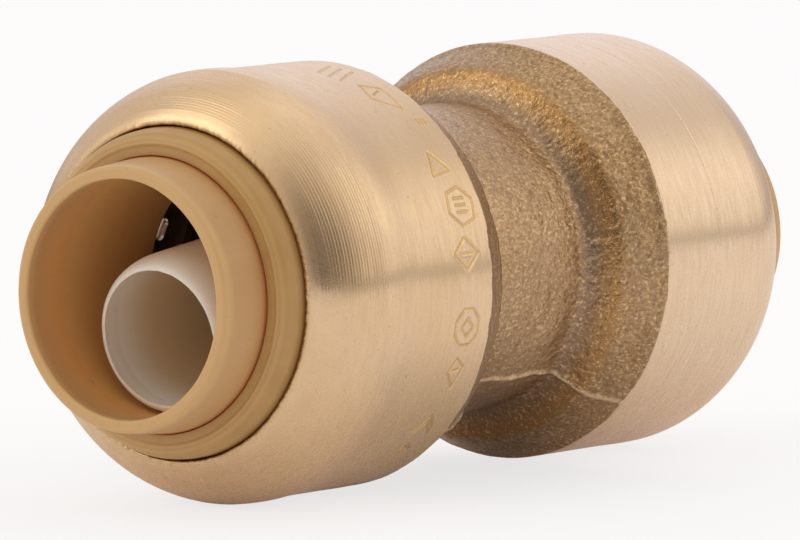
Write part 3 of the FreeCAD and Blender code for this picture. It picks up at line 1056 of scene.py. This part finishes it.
def build_grab(end):
    """Stamped spring ring: a flat rim and sixteen teeth with rounded tips."""
    points, faces = [], []
    base = 0
    for k in range(TEETH):
        tooth = tooth_points(math.radians(FIRST_SLOT + TOOTH_PITCH * (k + 0.5)))
        points.append(tooth)
        faces += tooth_faces(base)
        base += len(tooth)
    # flat rim
    count = 480
    inner, back = GRAB_ROOT_R - 0.02, GRAB_S + GRAB_THICK
    section = round_corners([(s, r, 0.05) for s, r in [
        (GRAB_S, inner), (GRAB_S, GRAB_R), (back, GRAB_R), (back, inner)]], 3)
    for k, (s, r) in enumerate(section):
        points.append(around(s, r, ring_angles(count)))
        a, b = base + k * count, base + (k + 1) % len(section) * count
        for j in range(count):
            j1 = (j + 1) % count
            faces.append((a + j, b + j, b + j1, a + j1))
    name = end + "_grab"
    mesh = new_mesh(name, np.concatenate(points), faces, flip=end == "far")
    bm = bmesh.new()
    bm.from_mesh(mesh)
    bmesh.ops.recalc_face_normals(bm, faces=bm.faces)
    bm.to_mesh(mesh)
    bm.free()
    ob = new_object(name, mesh)
    mesh.set_sharp_from_angle(angle=math.radians(40))
    return ob


def dress(ob, mat, node, body):
    ob.data.materials.append(mat)
    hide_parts(node)
    if body is not None:
        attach(ob, body)
    return ob


dress(build_body(), MAT_BRASS, "brass_body", "root")
for end, side in (("near", -1), ("far", 1)):
    dress(build_retainer(end), MAT_RING, end + "_retainer_ring", "root")
    dress(build_spacer(end), MAT_SPACER, end + "_seal_spacer", "root")
    dress(build_seal(end), MAT_RUBBER, end + "_o_ring", "root")
    dress(build_collar(end), MAT_COLLAR, end + "_release_collar",
          end + "_collar")
    dress(build_liner(end), MAT_LINER, end + "_tube_liner", end + "_liner")
    grab = dress(build_grab(end), MAT_STEEL, end + "_grab_ring", None)
    # the rim stays in its seat; the teeth's tips follow the collar when it is pressed
    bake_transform(grab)

# ------------------------------------------------------------------------- the stage
FLOOR_SIZE = 6.0            # metres
FLOOR_Z = -11.80            # mm


def make_floor_material():
    m = Surface("stage_floor_matte")
    cloud = m.noise(scale=3.0, detail=3)
    color = m.mix(m.remap(cloud, span=(0.3, 0.7)), (0.86, 0.86, 0.86), (0.84, 0.84, 0.84))
    m.shade({"Base Color": color, "Roughness": 0.75, "Specular IOR Level": 0.2})
    # the lens sees the sheet a little lighter than the light on it, as a lit sweep looks
    brightness, camera_share = 1.02, 0.70
    seen = m.node("ShaderNodeEmission", {0: (1.0, 1.0, 1.0), 1: brightness})
    camera_ray = m.node("ShaderNodeLightPath").outputs["Is Camera Ray"]
    camera_mask = m.mul(camera_ray, camera_share)
    # the floor also sends a painted glow back at the object, standing in for light bounced off a
    # lit sweep; a painted shade weakens it right beneath the waist, and it grows towards the far
    # end
    glow_tone = m.colour("panel_floor", (0.13, 0.13, 0.15))
    x, y, _ = m.split(m.place)
    shade_x = m.remap(m.math("ABSOLUTE", x), span=(0.004, 0.013), to=(0.88, 0.0))
    shade_y = m.remap(m.math("ABSOLUTE", y), span=(0.008, 0.020), to=(1.0, 0.0))
    unshaded = m.sub(1.0, m.mul(shade_x, shade_y))
    glow_strength = m.mul(unshaded, m.remap(x, span=(-0.014, 0.012), to=(0.85, 1.20)))
    glow = m.node("ShaderNodeEmission", {0: glow_tone, 1: glow_strength})
    lit = m.node("ShaderNodeAddShader", {0: m.bsdf.outputs[0], 1: glow.outputs[0]})
    mixed = m.node("ShaderNodeMixShader",
                   {0: camera_mask, 1: lit.outputs[0], 2: seen.outputs[0]})
    m.put(m.out.inputs["Surface"], mixed.outputs[0])
    m.mat.cycles.emission_sampling = "NONE"
    return m.mat


bpy.ops.mesh.primitive_plane_add(size=FLOOR_SIZE, location=(0, 0, FLOOR_Z * MM))
floor = bpy.context.object
floor.name = "stage_floor"
floor.data.materials.append(make_floor_material())

# A plain light tent: soft round panels added up over a weak fill.
# name, azimuth from -Y towards +X, elevation, radius (degrees; 0 is everywhere), colour
PANELS = [
    ("fill", 0, 0, 0, (0.500, 0.455, 0.420)),
    ("top", 0, 90, 48, (0.130, 0.130, 0.110)),
    ("high_front_left", -110, 56, 42, (0.290, 0.280, 0.230)),
    ("high_back_left", -165, 56, 42, (0.050, 0.050, 0.040)),
    ("high_camera", -50, 52, 40, (0.000, 0.000, 0.000)),
    ("high_right_front", 14, 52, 36, (0.210, 0.210, 0.190)),
    ("high_right", 75, 54, 36, (0.340, 0.340, 0.340)),
    ("high_back", 135, 54, 42, (0.240, 0.240, 0.270)),
    ("low_back", -175, 18, 36, (0.110, 0.110, 0.130)),
    ("low_back_left", -135, 16, 34, (0.700, 0.640, 0.550)),
    ("low_left", -95, 14, 34, (0.130, 0.100, 0.060)),
    ("camera_side", -52, 8, 30, (0.070, 0.050, 0.050)),
    ("low_front", -15, 16, 30, (0.000, 0.000, 0.000)),
    ("low_right_front", 20, 14, 30, (0.370, 0.360, 0.340)),
    ("side_box", 56, 14, 28, (0.550, 0.550, 0.540)),
    ("right", 90, 20, 30, (0.030, 0.050, 0.130)),
    ("right_back", 122, 20, 32, (0.430, 0.480, 0.630)),
    ("back", 155, 18, 34, (0.170, 0.180, 0.230)),
    ("mid_left", -80, 35, 26, (0.000, 0.000, 0.000)),
    ("mid_front", -20, 38, 26, (0.160, 0.130, 0.090)),
    ("mid_right_front", 40, 36, 24, (0.580, 0.570, 0.530)),
    ("mid_right", 105, 40, 26, (0.000, 0.010, 0.040)),
    ("mid_back_left", -130, 38, 28, (0.830, 0.810, 0.760)),
    ("mid_back", 170, 40, 30, (0.000, 0.000, 0.000)),
    ("zenith", 0, 90, 25, (0.200, 0.200, 0.200)),
]
PANEL_CORE = 0.20           # share of a panel's radius that is fully lit


def soft_patch(w, direction, azimuth, elevation, radius):
    """Soft round patch of sky: 1 in its core, 0 at its edge."""
    az, el = math.radians(azimuth), math.radians(elevation)
    centre = (math.cos(el) * math.sin(az), -math.cos(el) * math.cos(az), math.sin(el))
    dot = w.node("ShaderNodeVectorMath", {0: direction, 1: centre}, operation="DOT_PRODUCT")
    angle = w.math("ARCCOSINE", w.math("MINIMUM", dot.outputs["Value"], 1.0))
    span = (math.radians(radius), math.radians(radius * PANEL_CORE))
    return w.remap(angle, span=span, curve="SMOOTHSTEP")


def make_world():
    world = bpy.data.worlds.new("studio")
    bpy.context.scene.world = world
    w = Tree(world)
    generated = w.node("ShaderNodeTexCoord").outputs["Generated"]
    direction = w.node("ShaderNodeVectorMath", {0: generated}, operation="NORMALIZE").outputs[0]
    elevation = w.mul(w.math("ARCSINE", w.split(direction)[2]), 180 / math.pi)
    sky = None
    for name, panel_azimuth, panel_elevation, radius, colour in PANELS:
        part = w.colour("panel_" + name, colour)
        if radius:
            mask = soft_patch(w, direction, panel_azimuth, panel_elevation, radius)
            part = w.mix(1.0, part, w.join(mask, mask, mask), blend="MULTIPLY")
        sky = w.mix(1.0, sky, part, blend="ADD") if sky else part
    # the table's far edge is a thin darker line all round
    line_strength = 0.40
    above = w.remap(elevation, span=(2.2, 5.0), curve="SMOOTHSTEP")
    line = w.sub(1.0, w.mul(w.sub(1.0, above), line_strength))
    sky = w.mix(1.0, sky, w.join(line, line, line), blend="MULTIPLY")
    # the tent's open mouth, where the camera stands, is darker
    # to the metal; matt surfaces still gather light from that side
    mouth_strength = 0.70
    diffuse_ray = w.node("ShaderNodeLightPath").outputs["Is Diffuse Ray"]
    weight = w.mul(w.sub(1.0, diffuse_ray), mouth_strength)
    mouth = soft_patch(w, direction, azimuth=-44, elevation=12, radius=50)
    dim = w.sub(1.0, w.mul(mouth, weight))
    sky = w.mix(1.0, sky, w.join(dim, dim, dim), blend="MULTIPLY")
    tent = w.node("ShaderNodeBackground", {0: sky, 1: 1.0})
    # the camera itself sees plain white
    white = w.node("ShaderNodeBackground", {0: (1.0, 1.0, 1.0), 1: 1.0})
    camera_ray = w.node("ShaderNodeLightPath").outputs["Is Camera Ray"]
    mixed = w.node("ShaderNodeMixShader",
                   {0: camera_ray, 1: tent.outputs[0], 2: white.outputs[0]})
    w.node("ShaderNodeOutputWorld", {0: mixed.outputs[0]})


make_world()

# ------------------------------------------------------------------------ the camera
CAMERA_AZIMUTH, CAMERA_ELEVATION = math.radians(-52.642), math.radians(5.729)
# From the centre of the near mouth, mm: to the right, up, and back from the subject
CAMERA_RIGHT, CAMERA_UP, CAMERA_BACK = 14.890, 1.596, 478.791
SENSOR_WIDTH = 36.0
FOCAL_LENGTH = 404.9865


def make_camera():
    az, el = CAMERA_AZIMUTH, CAMERA_ELEVATION
    right = Vector((math.cos(az), math.sin(az), 0))
    forward = Vector((-math.sin(az) * math.cos(el), math.cos(az) * math.cos(el), -math.sin(el)))
    up = right.cross(forward)
    mouth = Vector((-HALF, 0, 0))
    place = mouth + CAMERA_RIGHT * right + CAMERA_UP * up - CAMERA_BACK * forward
    data = bpy.data.cameras.new("camera")
    data.sensor_width = SENSOR_WIDTH
    data.sensor_fit = "HORIZONTAL"
    data.lens = FOCAL_LENGTH
    data.clip_start = 0.01
    data.clip_end = 50
    camera = bpy.data.objects.new("camera", data)
    turn = Matrix((right, up, -forward)).transposed()
    camera.matrix_world = Matrix.Translation(place * MM) @ turn.to_4x4()
    bpy.context.scene.collection.objects.link(camera)
    bpy.context.scene.camera = camera


make_camera()

view = bpy.context.scene.view_settings
view.view_transform = "Standard"
view.look = "None"
view.exposure = 0.0
view.gamma = 1.0
